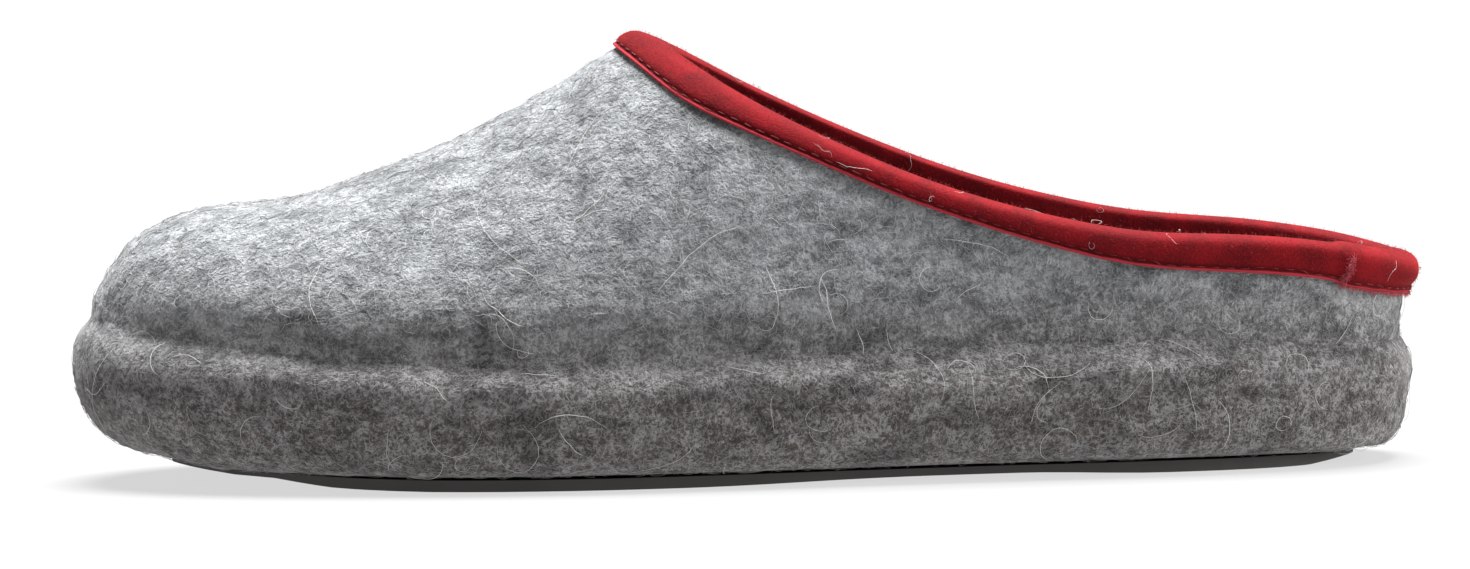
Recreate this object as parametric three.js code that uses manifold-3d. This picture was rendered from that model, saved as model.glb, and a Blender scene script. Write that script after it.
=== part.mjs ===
// A left felt slipper with a low back: a thick felt sole that rises round a hollow felt upper, a thin rubber
// outsole, a footbed and a tape binding round the collar.
// Millimetres, +Z up, the toe towards -X, the outer side of the foot towards -Y. The slipper stands on z = 0.

import * as THREE from "three";
import { mergeVertices } from "three/addons/utils/BufferGeometryUtils.js";
import Module from "manifold-3d";

// The slipper as a whole
const length = 280; // felt sole, toe to heel
const ballWidth = 104; // felt sole across the ball of the foot
const instepHeight = 91.5; // floor to the felt's edge at the throat
const heelHeight = 41.5; // floor to the felt's edge at the back
const throatReach = 121; // toe to the throat, along the foot
const clearance = 0.3; // between pieces that touch

// Felt upper
const upperWall = 4;
const toeRound = 38; // toe to the front end of the upper's ridge line
const heelRound = 36; // heel to the back end of the ridge line
const heelFlare = 2.5; // how far the back leans out at its edge
const flareFrom = 0.86; // where along the slipper it starts to lean out
const flareLimit = 1.3; // the lean stops growing at this share of the heel's height
const gathering = 22; // how gradually both ends of the ridge line gather the wall's columns

// Felt sole
const creaseHeight = 28.5; // floor to the crease between sole and upper, at the waist
const bedHeight = 20; // floor to the felt under the footbed
const bedToeLift = 4; // how far that felt rises to the toe
const bedLiftFrom = 0.28; // where along the slipper it starts to rise
const ledge = 3; // how far the sole stands out past the upper, at the waist
const lip = 0.5; // thickness of the sole's top edge at the crease
const tuck = 6.5; // how far the side turns in under the sole, at the waist
const grooveDepth = 0.6; // soft groove along the sole's side
const grooveHeight = 13.5; // floor to that groove
const grooveSpread = 1.8; // half its height
const ledgeRound = 1.6; // more brings the ledge's round shoulder closer to the crease

// Rubber outsole
const sheet = 1.6; // thickness of the sheet
const pad = 0.8; // how far the forefoot pad and the heel pad stand below the sheet
const sheetEnd = 0.7; // thickness of its thin ends
const outsoleInset = 2; // felt that shows past the sheet, underneath
const toeSpring = 6; // how far the sheet rises at the toe
const heelSpring = 1.6; // how far the sheet rises at the heel

// Footbed
const footbedThickness = 4;
const footbedEdge = 1; // chamfer of its upper edge

// Binding tape, folded over the collar's edge
const bindingWidth = 6.2; // tape on the outside, from the felt's edge down
const tape = 1.2;
const tapeGap = 0.5; // between the tape and the felt that it holds
const lapThickness = 0.8; // the tape's end where it laps over its start
const lapDrop = 0.9; // how far the end hangs below the start
const lapCurl = 4; // more keeps the drop closer to the tape's lower edge

// Mesh density, on each side of the slipper
const openColumns = 30; // heel to throat
const frontColumns = 18; // throat to toe
const outerRows = 10; // of the upper's wall, above the crease
const innerRows = 7;
const rowCrowding = 1.8; // more brings the rows closer together towards the collar
const plateRows = 2;
const sheetStations = 40; // along the rubber sheet
const halvings = 40; // of a range in which a place is searched

// The tables' lengths are shares of the sizes above, and "at" is the share of the length from the toe.
// Half widths of the sole, as shares of half the ball width, before the ends are rounded.
const outline = [
  { at: 0, outer: 0.97, inner: 1.09 },
  { at: 0.05, outer: 1.02, inner: 1.17 },
  { at: 0.1, outer: 1.05, inner: 1.165 },
  { at: 0.2, outer: 1.055, inner: 1.1 },
  { at: 0.29, outer: 1.05, inner: 1.04 },
  { at: 0.37, outer: 1.03, inner: 0.955 },
  { at: 0.5, outer: 0.93, inner: 0.8 },
  { at: 0.6, outer: 0.85, inner: 0.745 },
  { at: 0.7, outer: 0.815, inner: 0.745 },
  { at: 0.8, outer: 0.85, inner: 0.82 },
  { at: 0.9, outer: 0.925, inner: 0.925 },
  { at: 1, outer: 1.03, inner: 1.03 },
];
const endRounding = 0.85; // 1 rounds toe and heel as an ellipse, and less makes them blunter

// Height of the upper's ridge line as a share of the instep height. Behind the throat no felt reaches it, and
// it only sets how the side walls lean in. "square" is the section's exponent: 2 is an ellipse, and more
// is fuller. "tent" is 1 for that section, and more makes its upper half straighter, like a tent's roof.
const ridge = [
  { at: 0, height: 0.605, square: 2.65, tent: 1 },
  { at: 0.1, height: 0.613, square: 2.5, tent: 1.1 },
  { at: 0.157, height: 0.631, square: 2.3, tent: 1.15 },
  { at: 0.2, height: 0.667, square: 2.2, tent: 1.2 },
  { at: 0.26, height: 0.731, square: 2.1, tent: 1.3 },
  { at: 0.32, height: 0.808, square: 2, tent: 1.4 },
  { at: 0.38, height: 0.91, square: 1.95, tent: 1.45 },
  { at: 0.432, height: 1, square: 2, tent: 1.4 },
  { at: 0.46, height: 1.015, square: 2, tent: 1.3 },
  { at: 0.5, height: 1.015, square: 2, tent: 1.2 },
  { at: 0.57, height: 1, square: 2, tent: 1.1 },
  { at: 0.65, height: 0.985, square: 2.1, tent: 1 },
  { at: 0.75, height: 1, square: 2.2, tent: 1 },
  { at: 1, height: 1.12, square: 2.3, tent: 1 },
];

// The collar's edge from the side. "back" runs from 0 at the throat to 1 at the heel. "rise" is the share of
// the difference between instep and heel height, and "outer" what the outer side has more. "tape" is how much
// of the binding's width shows from the side.
const collar = [
  { back: 0, rise: 1, tape: 0.75, outer: 0 },
  { back: 0.06, rise: 0.88, tape: 0.9, outer: 0 },
  { back: 0.13, rise: 0.75, tape: 0.75, outer: 0 },
  { back: 0.26, rise: 0.545, tape: 0.65, outer: 0 },
  { back: 0.39, rise: 0.37, tape: 0.66, outer: 0 },
  { back: 0.52, rise: 0.24, tape: 0.76, outer: 0 },
  { back: 0.65, rise: 0.15, tape: 0.9, outer: 0 },
  { back: 0.78, rise: 0.11, tape: 0.98, outer: 0.012 },
  { back: 0.88, rise: 0.065, tape: 0.98, outer: 0.022 },
  { back: 1, rise: -0.01, tape: 0.85, outer: 0 },
];

// The sole's side: the crease and the widest level as shares of the crease height, and the ledge, the tuck
// and the outsole's inset as shares of their own sizes.
const side = [
  { at: 0, crease: 1.31, widest: 0.85, ledge: 1.38, tuck: 2.9, inset: 1 },
  { at: 0.05, crease: 1.22, widest: 0.81, ledge: 1.45, tuck: 2.4, inset: 2 },
  { at: 0.12, crease: 1.12, widest: 0.75, ledge: 1.2, tuck: 1.7, inset: 3.4 },
  { at: 0.2, crease: 1.06, widest: 0.69, ledge: 1.05, tuck: 1.3, inset: 1.8 },
  { at: 0.35, crease: 1.01, widest: 0.62, ledge: 1, tuck: 1.05, inset: 1 },
  { at: 0.6, crease: 1, widest: 0.6, ledge: 1, tuck: 1, inset: 1 },
  { at: 0.85, crease: 0.98, widest: 0.6, ledge: 0.9, tuck: 1.05, inset: 1 },
  { at: 1, crease: 0.88, widest: 0.6, ledge: 0.55, tuck: 0.9, inset: 3 },
];

// The underside: how far the sheet is lifted off its flat run, as shares of the toe and the heel spring, and
// how thick it is between its thin ends at 0 and its flat run at 1.
const spring = [
  { at: 0, toe: 1, heel: 0, thick: 0 },
  { at: 0.05, toe: 0.72, heel: 0, thick: 0 },
  { at: 0.09, toe: 0.47, heel: 0, thick: 0 },
  { at: 0.13, toe: 0.26, heel: 0, thick: 0.1 },
  { at: 0.165, toe: 0.2, heel: 0, thick: 0.45 },
  { at: 0.2, toe: 0.11, heel: 0, thick: 0.8 },
  { at: 0.235, toe: 0.04, heel: 0, thick: 0.95 },
  { at: 0.28, toe: 0, heel: 0, thick: 1 },
  { at: 0.9, toe: 0, heel: 0, thick: 1 },
  { at: 0.94, toe: 0, heel: 0.15, thick: 0.5 },
  { at: 0.97, toe: 0, heel: 0.5, thick: 0 },
  { at: 1, toe: 0, heel: 1, thick: 0 },
];
// The forefoot pad and the heel pad under the sheet, as shares of the pad's height.
const pads = [
  { at: 0.155, deep: 0 },
  { at: 0.2, deep: 1 },
  { at: 0.46, deep: 1 },
  { at: 0.64, deep: 0 },
  { at: 0.71, deep: 0 },
  { at: 0.82, deep: 1 },
  { at: 0.92, deep: 1 },
  { at: 0.95, deep: 0 },
];

// The tape's section, from its outer lower edge over the top: "level" is the depth below the felt's edge as a
// share of the binding width, and "out" is the height above the felt as a share of the tape. A raised hem
// lies below the stitches.
const tapeOutside = [
  { level: 1, out: 0.45 },
  { level: 0.9, out: 0.8 },
  { level: 0.82, out: 0.45 },
  { level: 0.72, out: 0.9 },
  { level: 0.5, out: 1.25 },
  { level: 0.2, out: 1.25 },
  { level: 0, out: 1.1 },
];
const tapeInside = [
  { level: 0, out: 1 },
  { level: 0.5, out: 1 },
  { level: 1, out: 0.6 },
];
const tapeTopPoints = 4; // between outside and inside, over the felt's edge

// The lapped end of the tape, in shares of the collar from the heel's back towards the throat.
const lap = { from: -0.06, to: 0.26, edge: 0.006 };

// Levels on the sole's side, as shares of the way from its widest level up to the crease and down to the
// underside.
const ledgeLevels = [1, 0.8, 0.6, 0.4, 0.2];
const tuckLevels = [0, 0.18, 0.36, 0.54, 0.72, 0.88, 1];

// One column of a table at a given place, through its rows on a smooth curve that doesn't swing past them.
function read(table, key, column, place) {
  const last = table.length - 1;
  const x = THREE.MathUtils.clamp(place, table[0][key], table[last][key]);
  let i = 0;
  while (i < last - 1 && x > table[i + 1][key]) i++;
  const [a, b] = [table[i], table[i + 1]];
  const span = b[key] - a[key];
  const rise = (j) => (table[j + 1][column] - table[j][column]) / (table[j + 1][key] - table[j][key]);
  const slope = (j) => {
    const [before, after] = [rise(Math.max(j - 1, 0)), rise(Math.min(j, last - 1))];
    return before * after > 0 ? (2 * before * after) / (before + after) : 0;
  };
  const t = (x - a[key]) / span;
  return (
    a[column] * (1 + 2 * t) * (1 - t) ** 2 +
    b[column] * t * t * (3 - 2 * t) +
    span * t * (1 - t) * (slope(i) * (1 - t) - slope(i + 1) * t)
  );
}

const toeX = -length / 2;
const shareOf = (x) => (x - toeX) / length;

// A place round the slipper is an angle: 0 at the heel's back, PI at the toe, positive on the outer side.
const stationOf = (angle) => (1 + Math.cos(angle)) / 2;

function outlineAt(angle) {
  const at = stationOf(angle);
  const outer = Math.sin(angle) > 0;
  const half = (ballWidth / 2) * read(outline, "at", outer ? "outer" : "inner", at);
  const rounded = half * Math.abs(Math.sin(angle)) ** endRounding;
  return new THREE.Vector2(toeX + at * length, outer ? -rounded : rounded);
}

// The sole's outline moved inwards by a distance.
function insetAt(angle, distance) {
  const step = 0.02;
  const along = outlineAt(angle + step).sub(outlineAt(angle - step)).normalize();
  return outlineAt(angle).add(new THREE.Vector2(along.y, -along.x).multiplyScalar(distance));
}

// The point of the middle line that the wall at this angle leans towards.
function spineAt(angle) {
  const front = toeRound / length;
  const back = 1 - heelRound / length;
  const gather = (at, end) => Math.hypot(at - end, gathering / length);
  const station = stationOf(angle);
  const behindToe = (station + front + gather(station, front)) / 2;
  const at = (behindToe + back - gather(behindToe, back)) / 2;
  const middle = (read(outline, "at", "inner", at) - read(outline, "at", "outer", at)) / 2;
  return new THREE.Vector2(toeX + at * length, (middle * ballWidth) / 2);
}

const bedAt = (at) => bedHeight + bedToeLift * THREE.MathUtils.smoothstep(bedLiftFrom - at, 0, bedLiftFrom);
const creaseAt = (at) => creaseHeight * read(side, "at", "crease", at);

// The height and lie of the upper's wall at an angle, moved inwards by an inset: its foot, its ridge and its
// section.
function wallAt(angle, inset) {
  const at = stationOf(angle);
  const top = spineAt(angle);
  const ridgeAt = shareOf(top.x);
  const foot = insetAt(angle, ledge * read(side, "at", "ledge", at) + inset);
  return {
    foot,
    top,
    base: bedAt(shareOf(foot.x)) + clearance,
    ridge: instepHeight * read(ridge, "at", "height", ridgeAt) - inset,
    square: read(ridge, "at", "square", at),
    tent: read(ridge, "at", "tent", at),
    flare: heelFlare * THREE.MathUtils.smoothstep(at, flareFrom, 1),
    out: insetAt(angle, 0).sub(insetAt(angle, 1)),
  };
}

// A point of that wall: rise is 0 at its foot and 1 on the ridge line.
function wallPoint(angle, rise, inset) {
  const wall = wallAt(angle, inset);
  const turn = (rise * Math.PI) / 2;
  const inwards = 1 - Math.max(Math.cos(turn), 0) ** ((2 / wall.square) * wall.tent);
  const upwards = Math.sin(turn) ** (2 / wall.square);
  const plan = wall.foot.clone().lerp(wall.top, inwards);
  const z = THREE.MathUtils.lerp(wall.base, wall.ridge, upwards);
  const lean = THREE.MathUtils.clamp((z - wall.base) / (heelHeight - wall.base), 0, flareLimit) ** 2;
  plan.addScaledVector(wall.out, wall.flare * lean);
  return new THREE.Vector3(plan.x, plan.y, z);
}

function riseAtHeight(angle, z, inset) {
  const wall = wallAt(angle, inset);
  const upwards = THREE.MathUtils.clamp((z - wall.base) / (wall.ridge - wall.base), 0, 1);
  return (Math.asin(upwards ** (wall.square / 2)) * 2) / Math.PI;
}

const wallPointAtHeight = (angle, z, inset) => wallPoint(angle, riseAtHeight(angle, z, inset), inset).setZ(z);

// The wall where the sole holds it, from the felt under the footbed to the crease.
const heldRows = [0, 0.3, 0.6, 0.8, 1];

function heldPoint(angle, share, inset) {
  const foot = wallPoint(angle, 0, inset);
  const bed = bedAt(shareOf(foot.x)) + (inset < 0 ? 0 : clearance);
  const z = THREE.MathUtils.lerp(bed, creaseAt(stationOf(angle)), share);
  return wallPointAtHeight(angle, z, inset);
}

const backOf = (x) => (shareOf(x) * length - throatReach) / (length - throatReach);

// The collar's edge from the side, carried on in a straight line past both ends.
function collarHeightAt(x, outerSide) {
  const back = backOf(x);
  const inside = THREE.MathUtils.clamp(back, 0, 1);
  const drop = instepHeight - heelHeight;
  const step = 0.01;
  const end = inside === 0 ? [step, 0] : [1, 1 - step];
  const slope = (read(collar, "back", "rise", end[0]) - read(collar, "back", "rise", end[1])) / step;
  const more = outerSide ? read(collar, "back", "outer", inside) : 0;
  return heelHeight + drop * (read(collar, "back", "rise", inside) + more + slope * (back - inside));
}

// How far a point lies below the collar's edge, as a length of tape.
function depthBelowCollar(point) {
  const step = 1;
  const heightAt = (x) => collarHeightAt(x, point.y < 0);
  const slope = (heightAt(point.x + step) - heightAt(point.x - step)) / (2 * step);
  const shown = read(collar, "back", "tape", backOf(point.x));
  return (heightAt(point.x) - point.z) / Math.hypot(1, slope) / shown;
}

// Halves the range from low to high until test changes between its ends.
function bisect(low, high, test) {
  for (let i = 0; i < halvings; i++) {
    const middle = (low + high) / 2;
    if (test(middle)) low = middle;
    else high = middle;
  }
  return (low + high) / 2;
}

// The angle at which a line at some depth below the collar's edge crosses the ridge line.
const throatAngle = (depth, inset) =>
  bisect(0, Math.PI, (angle) => depthBelowCollar(wallPoint(angle, 1, inset)) < depth);

const riseAtDepth = (angle, depth, inset) =>
  bisect(0, 1, (rise) => depthBelowCollar(wallPoint(angle, rise, inset)) > depth);

// Shares from the heel to the throat, with one more on each edge of the lap.
const openShares = [...Array(openColumns + 1).keys()]
  .map((i) => i / openColumns)
  .concat([-lap.from, -lap.from + lap.edge, lap.to, lap.to + lap.edge])
  .sort((a, b) => a - b)
  .filter((share, i, all) => i === 0 || share - all[i - 1] > lap.edge / 2);

// Columns stand closer together towards the throat, where the collar turns across the foot.
const spacing = 0.6; // of the columns at the heel and before the throat, where 1 is the mean
const openAngle = (share, throat) =>
  throat * share * (spacing + (3 - 2 * spacing) * share + (spacing - 2) * share ** 2);

// Goes round both sides: the outer one from heel to toe, then the inner one back, without its ends.
function roundBoth(list, make) {
  const inner = list.slice(1, -1).reverse();
  return [...list.map((item) => make(item, 1)), ...inner.map((item) => make(item, -1))];
}

// A line round the collar at one depth below its edge and one inset. Both may change along the way.
function collarLoop(depthOf, insetOf) {
  return roundBoth(openShares, (share, sign) => {
    const depth = depthOf(share * sign);
    const inset = insetOf(share * sign);
    const throat = throatAngle(depth, inset);
    const angle = sign * openAngle(share, throat);
    const rise = share === 1 ? 1 : riseAtDepth(angle, depth, inset);
    return wallPoint(angle, rise, inset);
  });
}

// The columns of a wall that is moved inwards by an inset, heel to toe.
function columnPlaces(inset) {
  const throat = throatAngle(0, inset);
  const places = openShares.map((share) => ({ angle: openAngle(share, throat), open: share < 1 }));
  for (let i = 1; i <= frontColumns; i++) {
    const share = (i / frontColumns) * (spacing + ((1 - spacing) * i) / frontColumns);
    places.push({ angle: THREE.MathUtils.lerp(throat, Math.PI, share), open: false });
  }
  return places;
}

// Columns of the upper from its foot to the collar, or to the ridge line in front of the throat.
function wallRings(inset, rows) {
  const places = columnPlaces(inset);
  const columns = roundBoth(places, ({ angle, open }, sign) => {
    const top = open ? riseAtDepth(sign * angle, 0, inset) : 1;
    const crease = riseAtHeight(sign * angle, creaseAt(stationOf(angle)), inset);
    const held = heldRows.slice(0, -1).map((share) => heldPoint(sign * angle, share, inset));
    const free = [...Array(rows + 1).keys()].map((row) => {
      const share = 1 - (1 - row / rows) ** rowCrowding;
      return wallPoint(sign * angle, THREE.MathUtils.lerp(crease, top, share), inset);
    });
    return [...held, ...free];
  });
  return columns[0].map((_, row) => columns.map((column) => column[row]));
}

// Angles round a plate, heel to toe and back. They are those of the upper's columns.
const plateAngles = roundBoth(columnPlaces(0), ({ angle }, sign) => sign * angle);

// Rings from an edge to the middle line, where both sides meet.
function ringsToSpine(edge, heightOf) {
  return [...Array(plateRows).keys()].map((row) =>
    edge.map((point, i) => {
      const spine = spineAt(plateAngles[i]);
      const plan = new THREE.Vector2(point.x, point.y).lerp(spine, (row + 1) / plateRows);
      return new THREE.Vector3(plan.x, plan.y, heightOf(shareOf(plan.x)));
    }),
  );
}

// Joins each ring to the next with a band of triangles. Keep says which places of a band are made.
function skin(rings, keep = () => true) {
  const positions = [];
  const cell = (a, b, c, d) => [a, b, c, a, c, d].forEach((p) => positions.push(p.x, p.y, p.z));
  for (let r = 0; r + 1 < rings.length; r++) {
    const [low, high] = [rings[r], rings[r + 1]];
    low.forEach((point, i) => {
      const j = (i + 1) % low.length;
      if (keep(r, i)) cell(low[j], point, high[i], high[j]);
    });
  }
  return solidFrom(positions);
}

// A closed geometry from loose triangles: shared corners are merged and triangles without area are left out.
function solidFrom(positions) {
  const loose = new THREE.BufferGeometry();
  loose.setAttribute("position", new THREE.Float32BufferAttribute(positions, 3));
  loose.setIndex([...Array(positions.length / 3).keys()]);
  const merged = mergeVertices(loose, 1e-3);
  const index = [];
  for (let i = 0; i < merged.index.count; i += 3) {
    const [a, b, c] = [0, 1, 2].map((k) => merged.index.getX(i + k));
    if (a !== b && b !== c && c !== a) index.push(a, b, c);
  }
  merged.setIndex(index);
  merged.computeVertexNormals();
  return merged;
}

function upperGeometry() {
  const outside = wallRings(0, outerRows);
  const inside = wallRings(upperWall, innerRows).reverse();
  const across = outside[0].length;
  const openings = openShares.length - 1;
  const overRim = (i) => i < openings || i >= across - openings;
  return skin([...outside, ...inside, outside[0]], (r, i) => r !== outside.length - 1 || overRim(i));
}

const springAt = (at) =>
  toeSpring * read(spring, "at", "toe", at) + heelSpring * read(spring, "at", "heel", at);
const sheetBottomAt = (at) => pad + springAt(at);
const padAt = (at) => pad * read(pads, "at", "deep", at);
const sheetTopAt = (at) =>
  sheetBottomAt(at) + THREE.MathUtils.lerp(sheetEnd, sheet, read(spring, "at", "thick", at));
const soleBottomAt = (at) => sheetTopAt(at) + clearance;

// The sole's side at one angle, from the crease down to the underside.
function sidePoints(angle) {
  const at = stationOf(angle);
  const crease = creaseAt(at);
  const widest = creaseHeight * read(side, "at", "widest", at);
  const under = tuck * read(side, "at", "tuck", at);
  const outline0 = insetAt(angle, 0);
  const inner = wallPointAtHeight(angle, crease, -clearance - lip);
  const reach = Math.hypot(inner.x - outline0.x, inner.y - outline0.y);
  const bottom = soleBottomAt(shareOf(insetAt(angle, under).x));
  const groove = (z) => grooveDepth * Math.exp(-(((z - grooveHeight) / grooveSpread) ** 2));
  const points = [];
  for (const share of ledgeLevels) {
    const z = THREE.MathUtils.lerp(widest, crease, share);
    points.push({ z, inwards: (reach * (1 - Math.cos(Math.PI * share ** ledgeRound))) / 2 });
  }
  for (const share of tuckLevels) {
    const z = THREE.MathUtils.lerp(widest, bottom, share);
    points.push({ z, inwards: under * (1 - Math.sqrt(1 - share * share)) + groove(z) * (1 - share) });
  }
  return points.map(({ z, inwards }) => {
    const plan = insetAt(angle, inwards);
    return new THREE.Vector3(plan.x, plan.y, z);
  });
}

function soleGeometry() {
  const held = heldRows.map((share) => plateAngles.map((angle) => heldPoint(angle, share, -clearance)));
  const floor = ringsToSpine(held[0], bedAt).reverse();
  const columns = plateAngles.map(sidePoints);
  const outside = columns[0].map((_, row) => columns.map((column) => column[row]));
  const underside = ringsToSpine(outside[outside.length - 1], soleBottomAt);
  return skin([...floor, ...held, ...outside, ...underside].reverse());
}

function footbedGeometry() {
  const edge = (inset, lift) =>
    plateAngles.map((angle) => {
      const foot = wallPoint(angle, 0, upperWall + clearance + inset);
      const z = bedAt(shareOf(foot.x)) + clearance + lift;
      return wallPointAtHeight(angle, z, upperWall + clearance + inset);
    });
  const topOf = (at) => bedAt(at) + clearance + footbedThickness;
  const bottomOf = (at) => bedAt(at) + clearance;
  const bottomEdge = edge(0, 0);
  const topEdge = edge(footbedEdge, footbedThickness);
  const bottom = ringsToSpine(bottomEdge, bottomOf).reverse();
  const top = ringsToSpine(topEdge, topOf);
  return skin([...bottom, bottomEdge, edge(0, footbedThickness - footbedEdge), topEdge, ...top]);
}

const lapShare = (share) =>
  THREE.MathUtils.smoothstep(share, lap.from, lap.from + lap.edge) *
  (1 - THREE.MathUtils.smoothstep(share, lap.to, lap.to + lap.edge));

function bindingGeometry() {
  const thick = (share, out) => (tape + lapThickness * lapShare(share)) * out;
  const hang = (share, level) => bindingWidth * level + lapDrop * lapShare(share) * level ** lapCurl;
  const outside = tapeOutside.map(({ level, out }) =>
    collarLoop((share) => hang(share, level), (share) => -tapeGap - thick(share, out)),
  );
  const [outsideTop, insideTop] = [tapeOutside[tapeOutside.length - 1], tapeInside[0]];
  const over = [...Array(tapeTopPoints).keys()].map((i) => {
    const turn = ((i + 1) / (tapeTopPoints + 1)) * Math.PI;
    return collarLoop(
      (share) => -(tapeGap + thick(share, 1)) * Math.sin(turn),
      (share) => {
        const from = -tapeGap - thick(share, outsideTop.out);
        const to = upperWall + tapeGap + thick(share, insideTop.out);
        return THREE.MathUtils.lerp(from, to, (1 - Math.cos(turn)) / 2);
      },
    );
  });
  const inside = tapeInside.map(({ level, out }) =>
    collarLoop(() => bindingWidth * level, (share) => upperWall + tapeGap + thick(share, out)),
  );
  // The face that holds the felt, from the inner leg back to the outer one.
  const held = [
    [1, upperWall + tapeGap],
    [0.5, upperWall + tapeGap],
    [0, upperWall + tapeGap],
    [-tapeGap / bindingWidth, upperWall + tapeGap],
    [-tapeGap / bindingWidth, -tapeGap],
    [0, -tapeGap],
    [0.5, -tapeGap],
    [1, -tapeGap],
  ].map(([level, inset]) =>
    collarLoop(
      (share) => (inset < 0 && level === 1 ? hang(share, level) : bindingWidth * level),
      () => inset,
    ),
  );
  return skin([...outside, ...over, ...inside, ...held, outside[0]]);
}

const wasm = await Module();
wasm.setup();

function manifoldOf(geometry) {
  const bare = geometry.clone().deleteAttribute("normal").deleteAttribute("uv");
  const merged = mergeVertices(bare, 1e-4);
  return new wasm.Manifold(
    new wasm.Mesh({
      numProp: 3,
      vertProperties: merged.attributes.position.array,
      triVerts: new Uint32Array(merged.index.array),
    }),
  );
}

function geometryOf(manifold) {
  const mesh = manifold.getMesh();
  const geometry = new THREE.BufferGeometry();
  geometry.setAttribute("position", new THREE.BufferAttribute(mesh.vertProperties, 3));
  geometry.setIndex(new THREE.BufferAttribute(mesh.triVerts, 1));
  geometry.computeVertexNormals();
  return geometry;
}

// The sheet's plan, cut from a bar that has its profile from the side.
function outsoleGeometry() {
  const edge = (angle) => {
    const shareAt = (column) => read(side, "at", column, stationOf(angle));
    return insetAt(angle, tuck * shareAt("tuck") + outsoleInset * shareAt("inset"));
  };
  const plan = new THREE.Shape(plateAngles.map(edge));
  const stations = [...Array(sheetStations + 1).keys()].map((i) => i / sheetStations);
  const places = [...new Set([...stations, ...pads.map(({ at }) => at)])].sort((a, b) => a - b);
  const along = (at, z) => new THREE.Vector2(toeX + at * length, z);
  const bottom = places.map((at) => along(at, sheetBottomAt(at) - padAt(at)));
  const top = places.map((at) => along(at, sheetTopAt(at))).reverse();
  const tall = toeSpring + heelSpring + sheet + 2 * pad;
  const planBar = new THREE.ExtrudeGeometry(plan, { depth: tall, bevelEnabled: false });
  const profile = new THREE.Shape([...bottom, ...top]);
  const profileBar = new THREE.ExtrudeGeometry(profile, { depth: 2 * ballWidth, bevelEnabled: false });
  profileBar.rotateX(Math.PI / 2).translate(0, ballWidth, 0);
  return geometryOf(manifoldOf(planBar).intersect(manifoldOf(profileBar)));
}

function piece(name, geometry, color, roughness) {
  const material = new THREE.MeshStandardMaterial({ color, roughness, metalness: 0 });
  const mesh = new THREE.Mesh(geometry, material);
  mesh.name = name;
  return mesh;
}

const slipper = new THREE.Group();
slipper.add(
  piece("outsole", outsoleGeometry(), 0x35363a, 0.7),
  piece("felt_sole", soleGeometry(), 0x6d6a69, 1),
  piece("upper", upperGeometry(), 0x8d8e8d, 1),
  piece("footbed", footbedGeometry(), 0x7b7a78, 1),
  piece("binding", bindingGeometry(), 0xa8161f, 0.85),
);

// The origin is on the floor, under the middle of the slipper's box.
const box = new THREE.Box3().setFromObject(slipper, true);
const middle = box.getCenter(new THREE.Vector3());
slipper.position.set(-middle.x, -middle.y, 0);

export default slipper;
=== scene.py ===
"""Dresses the solids of a grey felt slipper with a red tape binding.

It adds felt, loose wool, velvet, stitches and a rubber sheet, and sets up a studio."""

import math

import bmesh
import bpy
import numpy as np
from mathutils import Matrix, Vector, noise
from mathutils.bvhtree import BVHTree
from mathutils.kdtree import KDTree


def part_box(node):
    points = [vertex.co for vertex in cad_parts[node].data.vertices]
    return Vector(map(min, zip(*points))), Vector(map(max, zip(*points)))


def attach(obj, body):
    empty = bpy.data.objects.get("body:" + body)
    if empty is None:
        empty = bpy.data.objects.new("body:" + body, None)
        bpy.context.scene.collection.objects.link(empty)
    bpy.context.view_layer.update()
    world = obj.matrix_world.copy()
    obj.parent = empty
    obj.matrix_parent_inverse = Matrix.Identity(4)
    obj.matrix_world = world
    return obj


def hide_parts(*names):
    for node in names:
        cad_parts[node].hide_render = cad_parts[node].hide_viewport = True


bl_info = {
    "name": "Felt slipper",
    "version": (1, 0, 0),
    "blender": (4, 5, 0),
    "location": "View3D > Sidebar > Slipper",
    "description": "Dresses the packed solids of a felt slipper and sets up a studio for it",
    "category": "Object",
}

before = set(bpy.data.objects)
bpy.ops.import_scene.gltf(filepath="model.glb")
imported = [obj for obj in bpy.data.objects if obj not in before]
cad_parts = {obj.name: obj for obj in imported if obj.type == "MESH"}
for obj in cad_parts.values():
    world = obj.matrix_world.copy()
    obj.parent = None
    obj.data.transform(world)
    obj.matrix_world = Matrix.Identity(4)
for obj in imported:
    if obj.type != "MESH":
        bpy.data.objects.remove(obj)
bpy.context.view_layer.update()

MM = 0.001

# The photo's frame, and the pixel in it where the slipper's middle falls
PHOTO_WIDTH = 1470
PHOTO_HEIGHT = 569
TARGET_PIXEL = (742.6, 254.5)
TARGET = (0.0, 0.0, 45 * MM)

# The lamp by the heel
LAMP_SIZE = 250 * MM
LAMP_PLACE = (500 * MM, -140 * MM, 200 * MM)
LAMP_AIM = (130 * MM, 0.0, 30 * MM)
# Half the floor's side, in metres
FLOOR_REACH = 12

# The felt's grain: blotches of light and dark wool, a finer mottle in them, and pits between the fibres,
# which are darkened with painted shade
BLOTCH = 9 * MM
MOTTLE = 3 * MM
PIT = 0.9 * MM
# Milling draws the blotches out along the slipper and flattens them
FELT_DRAW = (0.6, 0.8, 1.2)

# The velvet's grain: patches where the pile is brushed one way, painted as sheen, and single tufts, painted
# lit with painted shade between them
BRUSHED = 6 * MM
TUFT = 0.45 * MM

# The rubber's grain: faint clouds, and the skin that its mould leaves
CLOUD = 14 * MM
SKIN = 0.6 * MM

# Layers of strands in the felt, in millimetres: their curls, their width and each layer's shift
STRANDS = (
    {"curl": 3.4, "width": 0.13, "shift": (0, 0, 0)},
    {"curl": 2.4, "width": 0.13, "shift": (310, 170, 50)},
    {"curl": 1.7, "width": 0.14, "shift": (130, 420, 230)},
    {"curl": 1.2, "width": 0.14, "shift": (530, 290, 370)},
    {"curl": 0.8, "width": 0.14, "shift": (90, 610, 480)},
)
# How steeply a noise rises through its middle, over one of its lumps
NOISE_SLOPE = 0.7

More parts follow.
